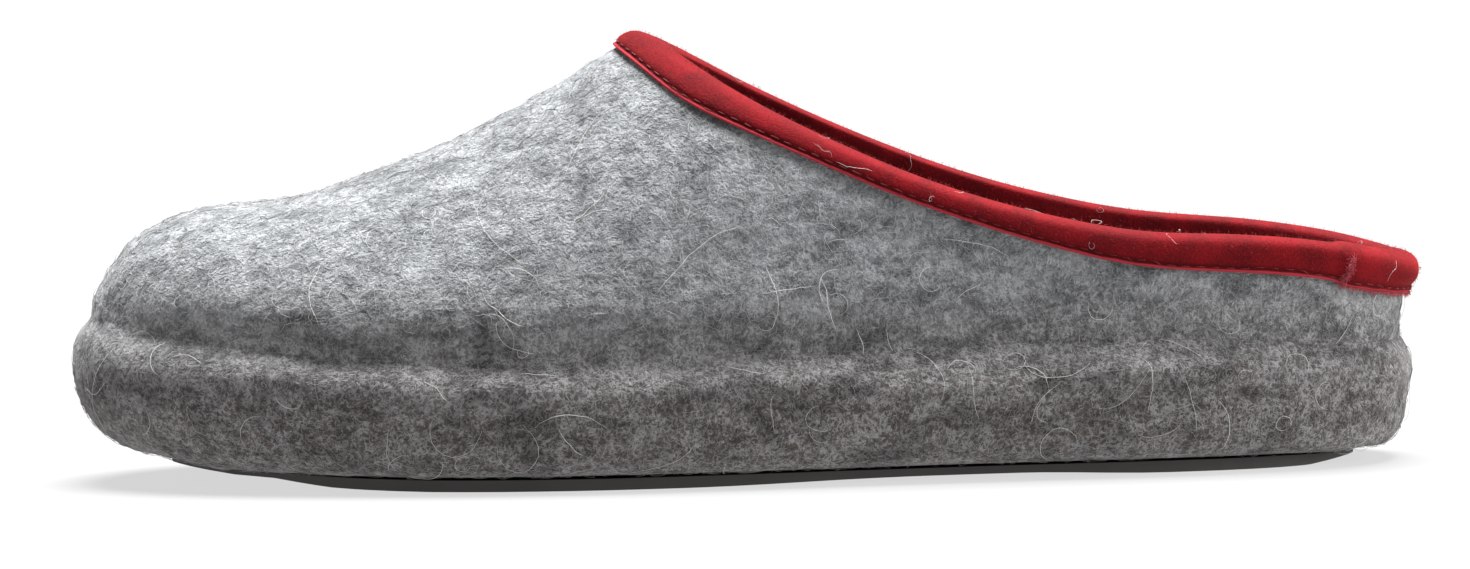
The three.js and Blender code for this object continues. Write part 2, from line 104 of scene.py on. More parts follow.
# Points along a curled fibre, a long hair and a short one
FIBRE_POINTS = 6
HAIR_POINTS = 14
SHORT_POINTS = 4
# A way that no short hair lies along, to turn its tube by
ANY_WAY = (0.3, 0.5, 0.8)
# Share of the fibres that a face inside the shoe gets
INSIDE_SHARE = 0.12

# A face is covered if another piece lies this near over it, and looks into the shoe if its own piece does
COVER_REACH = 1.5 * MM
SHOE_REACH = 130 * MM
RAY_START = 0.3 * MM

# Corners of the solids that are nearer than this are one, and two triangles that meet flatter are one quad
SAME_CORNER = 0.002 * MM
SAME_FACE = math.radians(40)
QUAD_SKEW = math.radians(120)

# In millimetres: where the search for the tape's lower edge starts, out from the tape's crown and below it,
# and how far off the felt it looks back at the tape from
SEARCH_OUT = 2
SEARCH_DOWN = 3
SEARCH_BACK = 6
# Spacing of the points along that edge. The search goes down the felt in steps of half as much
EDGE_STEP = 0.4 * MM
# The tape stands off the felt by less than this
TAPE_REACH = 3 * MM
# The slipper's front ends and its heel begins at these places
FRONT_END = -20 * MM
HEEL_START = 60 * MM

# Settings of a node that spreads a range smoothly, and of one that mixes colours, with its sockets
SMOOTH = {"interpolation_type": "SMOOTHSTEP"}
COLOURS = {"data_type": "RGBA", "take": 2}
SHARE, FIRST, SECOND = 0, 6, 7


def linear(code):
    """The linear colour of an sRGB hex value such as "8F9092"."""
    parts = [int(code[i : i + 2], 16) / 255 for i in (0, 2, 4)]
    return tuple(c / 12.92 if c <= 0.04045 else ((c + 0.055) / 1.055) ** 2.4 for c in parts)


def length_property(name, description, default):
    """A size in metres, shown in the scene's own unit."""
    return bpy.props.FloatProperty(
        name=name, description=description, default=default, min=0, unit="LENGTH", precision=5
    )


def angle_property(name, description, degrees):
    """An angle, given in degrees and kept in radians."""
    return bpy.props.FloatProperty(
        name=name, description=description, default=math.radians(degrees), subtype="ANGLE"
    )


def strength_property(name, description, default):
    """A number that isn't below 0."""
    return bpy.props.FloatProperty(name=name, description=description, default=default, min=0)


def count_property(name, description, default):
    """A number of like things, at least one."""
    return bpy.props.IntProperty(name=name, description=description, default=default, min=1)


def colour_property(name, description, code):
    """A colour, given as a hex value and kept linear."""
    return bpy.props.FloatVectorProperty(
        name=name, description=description, default=linear(code), size=3, min=0, max=1, subtype="COLOR"
    )


class FeltSettings(bpy.types.PropertyGroup):
    """The grey wool felt of upper, sole and footbed, and the loose wool on it"""

    light: colour_property("Light wool", "Lighter wool in the felt", "8F9295")
    dark: colour_property("Dark wool", "Darker wool in the felt", "4D5052")
    # Painted shade: the low colours are browner wool but also darker, so the felt darkens towards the ground
    # up to the high level
    low_light_with_painted_shade: colour_property("Light wool, low", "Lighter wool near the ground", "655F5C")
    low_dark_with_painted_shade: colour_property("Dark wool, low", "Darker wool near the ground", "35312F")
    low_level: length_property("Low level", "Below this height the felt has its low colours", 14 * MM)
    high_level: length_property("High level", "Above this height the felt has its own colours", 50 * MM)
    fibre_light: colour_property("Light fibres", "Pale fibres that lie on the felt", "B4B5B6")
    fibre_dark: colour_property("Dark fibres", "Dark fibres that lie on the felt", "3B3C3D")
    # Painted shade: the pale fibres turn browner and also darker towards the ground
    fibre_low_with_painted_shade: colour_property("Light fibres, low", "Pale fibres near the ground", "88817D")
    hair: colour_property("Stray hair", "Long hairs that lie on the felt", "D0CECB")
    crease_depth: length_property("Crease depth", "How far the felt is drawn in along the crease", 0.8 * MM)
    crease_bulge: length_property("Crease bulge", "How far the upper bulges over the crease", 1.1 * MM)
    ridge_bulge: length_property("Ridge bulge", "How far the sole's rear bulges under the crease", 1.4 * MM)
    crease_reach: length_property("Crease reach", "Half the height of the crease and of its bulge", 4.5 * MM)
    edge_depth: length_property("Edge depth", "How far the sole's top edge is drawn into the upper", 1.4 * MM)
    edge_reach: length_property("Edge reach", "Felt over the upper that this edge takes with it", 3.2 * MM)
    lump_width: length_property("Lump width", "Size of the soft lumps in the felt", 9 * MM)
    lump_height: length_property("Lump height", "Height of the soft lumps in the felt", 0.35 * MM)
    fibre_length: length_property("Fibre length", "Length of a curled fibre on the felt", 4 * MM)
    fibre_radius: length_property("Fibre radius", "Half the thickness of a fibre", 0.05 * MM)
    fibre_lift: length_property("Fibre lift", "How far a fibre stands off the felt", 0.45 * MM)
    fibres: count_property("Fibres", "Curled fibres in each of the joined pieces", 7500)
    hairs: count_property("Stray hairs", "Long pale hairs on the felt", 320)
    hair_length: length_property("Hair length", "Length of a stray hair", 11 * MM)
    hair_radius: length_property("Hair radius", "Half the thickness of a stray hair", 0.06 * MM)
    hair_lift: length_property("Hair lift", "How far a stray hair stands off", 0.9 * MM)
    seed: bpy.props.IntProperty(name="Seed", description="Start of the random draws", default=7)


class TapeSettings(bpy.types.PropertyGroup):
    """The red velvet tape round the collar, and its stitches"""

    # Painted light: the pile red below is the lit copy of the velvet, and the deep red after it the shaded
    # copy
    pile: colour_property("Pile", "Red of the velvet where light strikes its pile", "821219")
    pile_deep_painted_shade: colour_property("Pile, deep", "Red between the pile's threads", "4A0A0F")
    selvage: colour_property("Selvage", "The tape's woven edge", "A8333D")
    # Painted shade: this red darkens the band along the stitches
    groove_painted_shade: colour_property("Groove", "Flattened pile along the stitches", "3E080C")
    sheen: colour_property("Sheen", "Light that grazes the pile", "FF3C32")
    fringe: colour_property("Fringe", "Threads at the tape's torn end", "B04650")
    thread: colour_property("Thread", "Red sewing thread", "6C1218")
    stitch_length: length_property("Stitch length", "Length of a stitch that shows", 2.3 * MM)
    stitch_gap: length_property("Stitch gap", "Cloth between two stitches", 0.8 * MM)
    stitch_radius: length_property("Thread radius", "Half the thread's thickness", 0.13 * MM)
    stitch_height: length_property("Stitch height", "Stitches above the tape's lower edge", 1.1 * MM)
    selvage_width: length_property("Selvage width", "Width of the woven edge", 0.55 * MM)
    lap_place: length_property("Lap place", "The lap's torn end, back from the slipper's middle", 125 * MM)
    lap_height: length_property("Lap height", "Height of that end on the tape", 7 * MM)
    pile_length: length_property("Pile length", "Length of the velvet's loose pile", 0.55 * MM)
    pile_radius: length_property("Pile radius", "Half the thickness of the pile's hairs", 0.03 * MM)
    fringe_length: length_property("Fringe length", "Length of a frayed thread", 1 * MM)
    fringe_radius: length_property("Fringe radius", "Half the thickness of a frayed thread", 0.045 * MM)
    pile_hairs: count_property("Pile hairs", "Loose hairs of the velvet's pile", 7000)
    lap_threads: count_property("Lap threads", "Frayed threads up the lap's torn end", 400)
    edge_threads: count_property("Edge threads", "Frayed threads along the tape's edge behind the lap", 500)


class RubberSettings(bpy.types.PropertyGroup):
    """The thin rubber sheet under the felt"""

    rubber: colour_property("Rubber", "Dark grey rubber", "454341")


class StudioSettings(bpy.types.PropertyGroup):
    """Camera, floor and light"""

    azimuth: angle_property("Azimuth", "Camera's turn round the slipper", 1.5)
    elevation: angle_property("Elevation", "Camera's height as an angle", 4.5)
    roll: angle_property("Roll", "Camera's turn about its own axis", 1.25)
    distance: length_property("Distance", "Camera to the slipper", 3.0)
    pixels_per_metre: strength_property("Scale", "Photo pixels for each metre of the slipper", 4782)
    sun: strength_property("Light", "Strength of the overhead light", 13.2)
    sun_width: angle_property("Light's width", "Angle that the overhead light fills", 42)
    sun_back: angle_property("Light from behind", "Tilt of the light to the back", 15)
    sun_heel: angle_property("Light from the heel", "Tilt of the light to the heel", 3)
    fill: strength_property("Fill", "Strength of the light from all round", 0.15)
    lamp: strength_property("Heel lamp", "Watts of the lamp by the heel", 1.9)
    floor: colour_property("Floor", "Studio floor, a table lit from inside", "5A5A5A")
    glow: strength_property("Table's glow", "Light that the table gives off", 0.65)


def add_node(tree, kind, inputs=None, take=0, **settings):
    """Adds a node and gives back the output that take names. An input is a value or another node's output."""
    made = tree.nodes.new("ShaderNode" + kind)
    for name, value in settings.items():
        setattr(made, name, value)
    for name, value in (inputs or {}).items():
        if isinstance(value, bpy.types.NodeSocket):
            tree.links.new(value, made.inputs[name])
        else:
            made.inputs[name].default_value = value
    return made.outputs[take] if made.outputs else None


def new_material(name):
    """An empty material and its node tree."""
    material = bpy.data.materials.new(name)
    material.use_nodes = True
    material.node_tree.nodes.clear()
    return material, material.node_tree


def opaque(colour):
    """A colour with its alpha, as a shader takes it."""
    return (*colour, 1.0)


def grain_of(tree, place, size, low, high, detail, rough=0.5):
    """Soft lumps about size metres wide: 0 where their noise is below low, and 1 where it is above high."""
    inputs = {"Vector": place, "Scale": 1 / size, "Detail": detail, "Roughness": rough}
    lumps = add_node(tree, "TexNoise", inputs)
    return add_node(tree, "MapRange", {"Value": lumps, "From Min": low, "From Max": high}, **SMOOTH)


def height_share(tree, place):
    """0 at the felt's low level and below, and 1 at its high level and above."""
    felt = bpy.context.scene.slipper_felt
    height = add_node(tree, "SeparateXYZ", {"Vector": place}, take="Z")
    levels = {"Value": height, "From Min": felt.low_level, "From Max": felt.high_level}
    return add_node(tree, "MapRange", levels, **SMOOTH)


def strands_of(tree, place):
    """A tangle of thin curled lines, 1 on a line and 0 off it. Each runs where a noise passes through its
    middle, and breaks off where a second noise is low."""
    tangle = None
    for layer in STRANDS:
        curl = layer["curl"] * MM
        shift = [value * MM for value in layer["shift"]]
        moved = add_node(tree, "Mapping", {"Vector": place, "Location": shift})
        inputs = {"Vector": moved, "Scale": 1 / curl, "Detail": 1, "Distortion": 0.6}
        wave = add_node(tree, "TexNoise", inputs)
        off = add_node(tree, "Math", {0: wave, 1: 0.5}, operation="SUBTRACT")
        off = add_node(tree, "Math", {0: off}, operation="ABSOLUTE")
        reach = layer["width"] / layer["curl"] * NOISE_SLOPE
        spread = {"Value": off, "From Max": reach, "To Min": 1, "To Max": 0}
        line = add_node(tree, "MapRange", spread, **SMOOTH)
        ends = grain_of(tree, moved, curl * 1.3, 0.42, 0.6, 0)
        shown = add_node(tree, "Math", {0: line, 1: ends}, operation="MULTIPLY")
        if tangle is not None:
            shown = add_node(tree, "Math", {0: tangle, 1: shown}, operation="MAXIMUM")
        tangle = shown
    return tangle


def wool_felt(name):
    """Milled wool felt: no weave, matt, with a fuzzy sheen. Light and dark wool lie mixed in soft blotches, a
    tangle of single fibres shows on top with pits between that are darkened with painted shade, and near the
    ground the wool is browner and also darker, partly with painted shade."""
    felt = bpy.context.scene.slipper_felt
    material, tree = new_material(name)
    place = add_node(tree, "TexCoord", take="Object")
    # Painted shade: towards the ground the felt's colours mix to the browner, darker low ones
    high = height_share(tree, place)
    ends = {SHARE: high, FIRST: opaque(felt.low_light_with_painted_shade), SECOND: opaque(felt.light)}
    light = add_node(tree, "Mix", ends, **COLOURS)
    ends = {SHARE: high, FIRST: opaque(felt.low_dark_with_painted_shade), SECOND: opaque(felt.dark)}
    dark = add_node(tree, "Mix", ends, **COLOURS)
    drawn = add_node(tree, "Mapping", {"Vector": place, "Scale": FELT_DRAW})
    blotch = grain_of(tree, drawn, BLOTCH, 0.36, 0.64, 3, 0.55)
    mottle = grain_of(tree, drawn, MOTTLE, 0.3, 0.68, 2)
    pits = grain_of(tree, place, PIT, 0.3, 0.55, 2, 0.6)
    # Painted shade: the felt's colour is darkened in the pits between the fibres
    shade = add_node(tree, "MapRange", {"Value": pits, "To Min": 0.65}, **SMOOTH)
    tone = add_node(tree, "Math", {0: mottle, 1: 0.55}, operation="MULTIPLY")
    tone = add_node(tree, "Math", {0: blotch, 1: 0.45, 2: tone}, operation="MULTIPLY_ADD")
    tone = add_node(tree, "Math", {0: tone, 1: shade}, operation="MULTIPLY")
    cloth = add_node(tree, "Mix", {SHARE: tone, FIRST: dark, SECOND: light}, **COLOURS)
    strands = strands_of(tree, place)
    pale = add_node(tree, "Mix", {SHARE: 0.75, FIRST: light, SECOND: opaque(felt.fibre_light)}, **COLOURS)
    spread = {"Value": tone, "From Min": 0.1, "From Max": 0.7, "To Min": 0.3, "To Max": 0.7}
    shown = add_node(tree, "MapRange", spread, **SMOOTH)
    shown = add_node(tree, "Math", {0: strands, 1: shown}, operation="MULTIPLY")
    colour = add_node(tree, "Mix", {SHARE: shown, FIRST: cloth, SECOND: pale}, **COLOURS)
    relief = add_node(tree, "Math", {0: strands, 1: 0.5, 2: pits}, operation="MULTIPLY_ADD")
    bump = add_node(tree, "Bump", {"Height": relief, "Strength": 0.8, "Distance": 0.25 * MM})
    inputs = {
        "Base Color": colour,
        "Roughness": 0.95,
        "Specular IOR Level": 0.1,
        "Sheen Weight": 0.25,
        "Sheen Roughness": 0.5,
        "Sheen Tint": (1, 1, 1, 1),
        "Normal": bump,
    }
    shader = add_node(tree, "BsdfPrincipled", inputs)
    add_node(tree, "OutputMaterial", {"Surface": shader})
    return material


def single_wool(name):
    """Single wool fibres: pale to dark grey, each of one tone, slightly glossy. Near the ground the pale ones
    are browner and also darker, partly with painted shade.
    """
    felt = bpy.context.scene.slipper_felt
    material, tree = new_material(name)
    place = add_node(tree, "TexCoord", take="Object")
    # Painted shade: towards the ground the pale fibres mix to a browner, darker tone
    high = height_share(tree, place)
    ends = {SHARE: high, FIRST: opaque(felt.fibre_low_with_painted_shade), SECOND: opaque(felt.fibre_light)}
    light = add_node(tree, "Mix", ends, **COLOURS)
    shade = add_node(tree, "Attribute", take="Fac", attribute_name="shade")
    ends = {SHARE: shade, FIRST: opaque(felt.fibre_dark), SECOND: light}
    colour = add_node(tree, "Mix", ends, **COLOURS)
    inputs = {"Base Color": colour, "Roughness": 0.6, "Specular IOR Level": 0.3, "Sheen Weight": 0.2}
    shader = add_node(tree, "BsdfPrincipled", inputs)
    add_node(tree, "OutputMaterial", {"Surface": shader})
    return material


def red_velvet(name):
    """Cut velvet tape, with a sheen where light grazes it. Its red is painted light and shade: a lit and a
    shaded copy of the red, mixed in patches of painted sheen where the pile is brushed one way and over
    single tufts with painted shade between them. Painted shade darkens a band along the stitches, and the
    woven edge is paler."""
    tape = bpy.context.scene.slipper_tape
    material, tree = new_material(name)
    place = add_node(tree, "TexCoord", take="Object")
    # Painted light: the red mixes from the shaded copy to the lit one, in patches of painted sheen and over
    # tufts
    brushed = grain_of(tree, place, BRUSHED, 0.3, 0.75, 3)
    tufts = grain_of(tree, place, TUFT, 0.25, 0.75, 2, 0.7)
    share = add_node(tree, "Math", {0: tufts, 1: 0.55}, operation="MULTIPLY")
    share = add_node(tree, "Math", {0: brushed, 1: 0.45, 2: share}, operation="MULTIPLY_ADD", use_clamp=True)
    ends = {SHARE: share, FIRST: opaque(tape.pile_deep_painted_shade), SECOND: opaque(tape.pile)}
    velvet = add_node(tree, "Mix", ends, **COLOURS)
    # Painted shade: a dark band along the stitches
    painted_groove_shade = add_node(tree, "Attribute", take="Fac", attribute_name="groove_painted_shade")
    velvet = add_node(tree, "Mix", {SHARE: painted_groove_shade, FIRST: velvet, SECOND: opaque(tape.groove_painted_shade)}, **COLOURS)
    woven = add_node(tree, "Attribute", take="Fac", attribute_name="selvage")
    colour = add_node(tree, "Mix", {SHARE: woven, FIRST: velvet, SECOND: opaque(tape.selvage)}, **COLOURS)
    bump = add_node(tree, "Bump", {"Height": tufts, "Strength": 0.35, "Distance": 0.2 * MM})
    inputs = {
        "Base Color": colour,
        "Roughness": 0.9,
        "Specular IOR Level": 0.1,
        "Sheen Weight": 0.2,
        "Sheen Roughness": 0.35,
        "Sheen Tint": opaque(tape.sheen),
        "Normal": bump,
    }
    shader = add_node(tree, "BsdfPrincipled", inputs)
    add_node(tree, "OutputMaterial", {"Surface": shader})
    return material


def single_fibres(name, colour, roughness):
    """Fibres of one colour: glossy as a sewing thread, or matt as loose pile, frayed ends and hairs."""
    material, tree = new_material(name)
    inputs = {
        "Base Color": opaque(colour),
        "Roughness": roughness,
        "Specular IOR Level": 0.2,
        "Sheen Weight": 0.1,
    }
    shader = add_node(tree, "BsdfPrincipled", inputs)
    add_node(tree, "OutputMaterial", {"Surface": shader})
    return material


def latex_rubber(name):
    """A coat of latex rubber: smooth, matt and dark, faintly cloudy, with a fine skin."""
    rubber = bpy.context.scene.slipper_rubber.rubber
    material, tree = new_material(name)
    place = add_node(tree, "TexCoord", take="Object")
    cloud = grain_of(tree, place, CLOUD, 0.3, 0.7, 4)
    share = add_node(tree, "Math", {0: cloud, 1: 0.6}, operation="MULTIPLY")
    paler = opaque([value * 1.5 for value in rubber])
    colour = add_node(tree, "Mix", {SHARE: share, FIRST: opaque(rubber), SECOND: paler}, **COLOURS)
    rough = add_node(tree, "MapRange", {"Value": cloud, "To Min": 0.55, "To Max": 0.75}, **SMOOTH)
    skin = add_node(tree, "TexNoise", {"Vector": place, "Scale": 1 / SKIN, "Detail": 3})
    bump = add_node(tree, "Bump", {"Height": skin, "Strength": 0.2, "Distance": 0.15 * MM})
    inputs = {"Base Color": colour, "Roughness": rough, "Specular IOR Level": 0.35, "Normal": bump}
    shader = add_node(tree, "BsdfPrincipled", inputs)
    add_node(tree, "OutputMaterial", {"Surface": shader})
    return material


def add_object(name, mesh, material=None):
    """An object at the origin that holds the mesh."""
    made = bpy.data.objects.new(name, mesh)
    bpy.context.scene.collection.objects.link(made)
    if material:
        mesh.materials.append(material)
    return made


def ride_as(made, slot, *nodes):
    """Hangs a finished piece on the root body, and hides the CAD nodes that it stands for."""
    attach(made, "root")
    if nodes:
        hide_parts(*nodes)


def merged_copy(node):
    """A bmesh of a CAD node with its corners merged and its triangles paired into quads."""
    work = bmesh.new()
    work.from_mesh(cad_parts[node].data)
    bmesh.ops.remove_doubles(work, verts=work.verts, dist=SAME_CORNER)
    bmesh.ops.join_triangles(
        work, faces=work.faces, angle_face_threshold=SAME_FACE, angle_shape_threshold=QUAD_SKEW
    )
    return work


def smooth_copy(node, name, material, levels):
    """A CAD node's shape with its facets rounded off by subdivision."""
    mesh = bpy.data.meshes.new(name)
    work = merged_copy(node)
    work.to_mesh(mesh)
    work.free()
    made = add_object(name, mesh)
    rounding = made.modifiers.new("Rounding", "SUBSURF")
    rounding.levels = rounding.render_levels = levels
    settled = bpy.data.meshes.new_from_object(made.evaluated_get(bpy.context.evaluated_depsgraph_get()))
    made.modifiers.clear()
    made.data = settled
    bpy.data.meshes.remove(mesh)
    settled.name = name
    settled.materials.append(material)
    settled.polygons.foreach_set("use_smooth", [True] * len(settled.polygons))
    return made


def tree_of(*meshes):
    """One search tree of several meshes."""
    corners, faces = [], []
    for mesh in meshes:
        start = len(corners)
        corners.extend(vertex.co.copy() for vertex in mesh.vertices)
        faces.extend([start + index for index in face.vertices] for face in mesh.polygons)
    return BVHTree.FromPolygons(corners, faces)


def eased(low, high, value):
    """0 up to low, 1 from high on, and a smooth rise between."""
    share = min(max((value - low) / (high - low), 0.0), 1.0)
    return share * share * (3 - 2 * share)


def lump(mesh, keep_clear, width, height):
    """Gives a felt surface soft lumps, which fade out beside the pieces that it has to stay clear of."""
    normals = [vertex.normal.copy() for vertex in mesh.vertices]
    for vertex, normal in zip(mesh.vertices, normals):
        place = vertex.co / width
        rise = 0.65 * noise.noise(place) + 0.35 * noise.noise(place * 2.7)
        distance = keep_clear.find_nearest(vertex.co)[3]
        vertex.co += normal * (rise * 2 * height * eased(0.4 * MM, 4 * MM, distance))
    mesh.update()


def node_tree(*nodes):
    """One search tree of several CAD nodes."""
    return tree_of(*[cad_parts[node].data for node in nodes])


def evenly(points, step):
    """Points at one spacing along a closed line."""
    closed = np.vstack([points, points[:1]])
    runs = np.concatenate([[0], np.cumsum(np.linalg.norm(np.diff(closed, axis=0), axis=1))])
    count = int(runs[-1] / step)
    at = np.linspace(0, runs[-1], count, endpoint=False)
    return np.stack([np.interp(at, runs, closed[:, axis]) for axis in range(3)], axis=1)


def search_of(points):
    """A search tree of points."""
    search = KDTree(len(points))
    for index, point in enumerate(points):
        search.insert(point, index)
    search.balance()
    return search


def top_line(node, count):
    """A closed line of the highest corners of a node, one in each sector of its plan."""
    low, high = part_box(node)
    middle = (low + high) / 2
    stretch = (high.x - low.x) / (high.y - low.y)
    found = {}
    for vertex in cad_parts[node].data.vertices:
        turn = math.atan2((vertex.co.y - middle.y) * stretch, vertex.co.x - middle.x)
        sector = int(turn / math.tau % 1 * count)
        if sector not in found or vertex.co.z > found[sector].z:
            found[sector] = vertex.co.copy()
    points = np.array([found[sector] for sector in sorted(found)])
    for _ in range(2):
        points = (np.roll(points, 1, 0) + points * 2 + np.roll(points, -1, 0)) / 4
    return points


def collar_edge():
    """The tape's lower outer edge all the way round the collar. It is found by going down the felt, from
    under the tape's crown to where the tape stops covering it."""
    felt = node_tree("upper")
    tape = node_tree("binding")
    crown = evenly(top_line("binding", 60), 2 * MM)
    line = []
    for point, run in zip(crown, np.roll(crown, -1, 0) - np.roll(crown, 1, 0)):
        out = Vector(run).cross((0, 0, 1)).normalized()
        down = Vector(run).normalized().cross(out)
        start = Vector(point) + out * SEARCH_OUT * MM + down * SEARCH_DOWN * MM
        place, normal, _, _ = felt.find_nearest(start)
        while tape.ray_cast(place, normal, TAPE_REACH)[0]:
            edge = tape.ray_cast(place + normal * SEARCH_BACK * MM, -normal, SEARCH_BACK * MM)[0]
            step = (down - normal * down.dot(normal)).normalized() * EDGE_STEP / 2
            place, normal, _, _ = felt.find_nearest(place + step)
        line.append(edge)
    line = evenly(np.array(line), EDGE_STEP)
    for _ in range(6):
        line = (np.roll(line, 1, 0) + line * 2 + np.roll(line, -1, 0)) / 4
    return line


def front_share(place):
    """1 over the slipper's front half and 0 towards its heel."""
    return 1 - eased(FRONT_END, HEEL_START, place.x)


def shape_crease(mesh, felt):
    """Makes a soft trough of the crease between upper and sole, under a bulge of the upper's front. Both
    pieces are moved alike, and neither their inner sides nor the ends of the slipper move much."""
    crease = evenly(top_line("felt_sole", 150), MM)
    along = np.roll(crease, -1, 0) - np.roll(crease, 1, 0)
    search = search_of(crease)
    for vertex in mesh.vertices:
        _, index, distance = search.find(vertex.co)
        if distance < 6 * felt.crease_reach:
            out = Vector(along[index]).cross((0, 0, 1)).normalized()
            off = vertex.co - Vector(crease[index])
            height = off.z / felt.crease_reach
            front = front_share(vertex.co)
            outside = eased(-4.2 * MM, -1.5 * MM, off.dot(out))
            trough = felt.crease_depth * math.exp(-(height**2)) * outside
            bulge = felt.crease_bulge * math.exp(-((height / 1.25 - 1.6) ** 2)) * front
            ridge = felt.ridge_bulge * math.exp(-((height * 1.2 + 1.4) ** 2)) * (1 - front)
            along_side = 0.3 + 0.7 * abs(out.y)
            vertex.co += out * (bulge + ridge - trough) * along_side
    mesh.update()


def sink_edge(mesh, wall, felt):
    """Draws the sole's thin top edge into the upper's wall, so that the two felts run into each other. The
    ridge below the crease comes out lower and softer at the front than at the heel."""
    for vertex in mesh.vertices:
        place, normal, _, distance = wall.find_nearest(vertex.co)
        off = (vertex.co - place).dot(normal)
        share = 0.45 + 0.55 * front_share(vertex.co)
        reach = felt.edge_reach * share
        if distance < reach and off > 0:
            vertex.co -= normal * felt.edge_depth * share * (1 - eased(reach / 4, reach, off))
    mesh.update()


class SLIPPER_OT_upper(bpy.types.Operator):
    """Felt upper, with soft lumps that fade out under the tape"""

    bl_idname = "slipper.upper"
    bl_label = "Felt upper"

    def execute(self, context):
        felt = context.scene.slipper_felt
        material = wool_felt("Milled wool felt, upper")
        made = smooth_copy("upper", "felt_upper", material, 2)
        lump(made.data, node_tree("binding", "footbed"), felt.lump_width, felt.lump_height)
        shape_crease(made.data, felt)
        ride_as(made, "upper_felt", "upper")
        return {"FINISHED"}


class SLIPPER_OT_sole(bpy.types.Operator):
    """Felt sole, whose thin top edge runs into the upper"""

    bl_idname = "slipper.sole"
    bl_label = "Felt sole"

    def execute(self, context):
        felt = context.scene.slipper_felt
        material = wool_felt("Milled wool felt, sole")
        made = smooth_copy("felt_sole", "felt_sole_skin", material, 2)
        lump(made.data, node_tree("outsole", "footbed"), felt.lump_width, felt.lump_height)
        shape_crease(made.data, felt)
        sink_edge(made.data, tree_of(bpy.data.objects["felt_upper"].data), felt)
        ride_as(made, "sole_felt", "felt_sole")
        return {"FINISHED"}


class SLIPPER_OT_footbed(bpy.types.Operator):
    """Felt footbed"""

    bl_idname = "slipper.footbed"
    bl_label = "Footbed"

    def execute(self, context):
        felt = context.scene.slipper_felt
        material = wool_felt("Milled wool felt, footbed")
        made = smooth_copy("footbed", "felt_footbed", material, 2)
        lump(made.data, node_tree("upper", "felt_sole"), felt.lump_width, felt.lump_height)
        ride_as(made, "footbed_felt", "footbed")
        return {"FINISHED"}


class SLIPPER_OT_outsole(bpy.types.Operator):
    """Rubber sheet under the felt"""

    bl_idname = "slipper.outsole"
    bl_label = "Outsole"

    def execute(self, context):
        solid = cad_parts["outsole"]
        solid.data.materials.clear()
        solid.data.materials.append(latex_rubber("Latex rubber, charcoal"))
        return {"FINISHED"}


def fibre_mesh(name, paths, ups, radius, sides, shades=None):
    """One mesh of closed thin tubes, pointed at both ends. paths is tubes x points x 3, and ups is the way
    that each point's tube faces."""
    count, points = paths.shape[:2]
    along = np.gradient(paths, axis=1)
    along /= np.linalg.norm(along, axis=2, keepdims=True) + 1e-12
    across = np.cross(along, ups)
    across /= np.linalg.norm(across, axis=2, keepdims=True) + 1e-12
    out = np.cross(across, along)
    turns = np.arange(sides) / sides * math.tau
    centres = paths[:, 1:-1, None]
    ring = np.cos(turns)[:, None] * across[:, 1:-1, None] + np.sin(turns)[:, None] * out[:, 1:-1, None]
    taper = np.sin(np.linspace(0, math.pi, points))[1:-1] ** 0.35
    rings = centres + ring * (radius[:, None] * taper)[:, :, None, None]
    corners = np.concatenate([paths[:, :1], rings.reshape(count, -1, 3), paths[:, -1:]], axis=1)
    each = corners.shape[1]
    last = 1 + (points - 3) * sides
    faces = []
    for side in range(sides):
        after = (side + 1) % sides
        faces.append((0, 1 + after, 1 + side))
        faces.append((each - 1, last + side, last + after))
        for row in range(points - 3):
            start = 1 + row * sides
            faces.append((start + side, start + after, start + sides + after))
            faces.append((start + side, start + sides + after, start + sides + side))
    indices = (np.array(faces)[None] + (np.arange(count) * each)[:, None, None]).reshape(-1, 3)
    mesh = bpy.data.meshes.new(name)
    mesh.from_pydata(corners.reshape(-1, 3).tolist(), [], indices.tolist())
    mesh.polygons.foreach_set("use_smooth", [True] * len(mesh.polygons))
    if shades is not None:
        shade = mesh.attributes.new("shade", "FLOAT", "POINT")
        shade.data.foreach_set("value", np.repeat(shades, each).astype(np.float32))
    return mesh


def up_the_tape(surface, edge):
    """For each point of the tape's lower edge, the way up the tape's face."""
    along = np.roll(edge, -1, 0) - np.roll(edge, 1, 0)
    ups = []
    for point, run in zip(edge, along):
        out = surface.find_nearest(Vector(point) + Vector((0, 0, 1.5 * MM)))[1]
        up = Vector(run).cross(out).normalized()
        ups.append(up if up.z > 0 else -up)
    return np.array(ups)


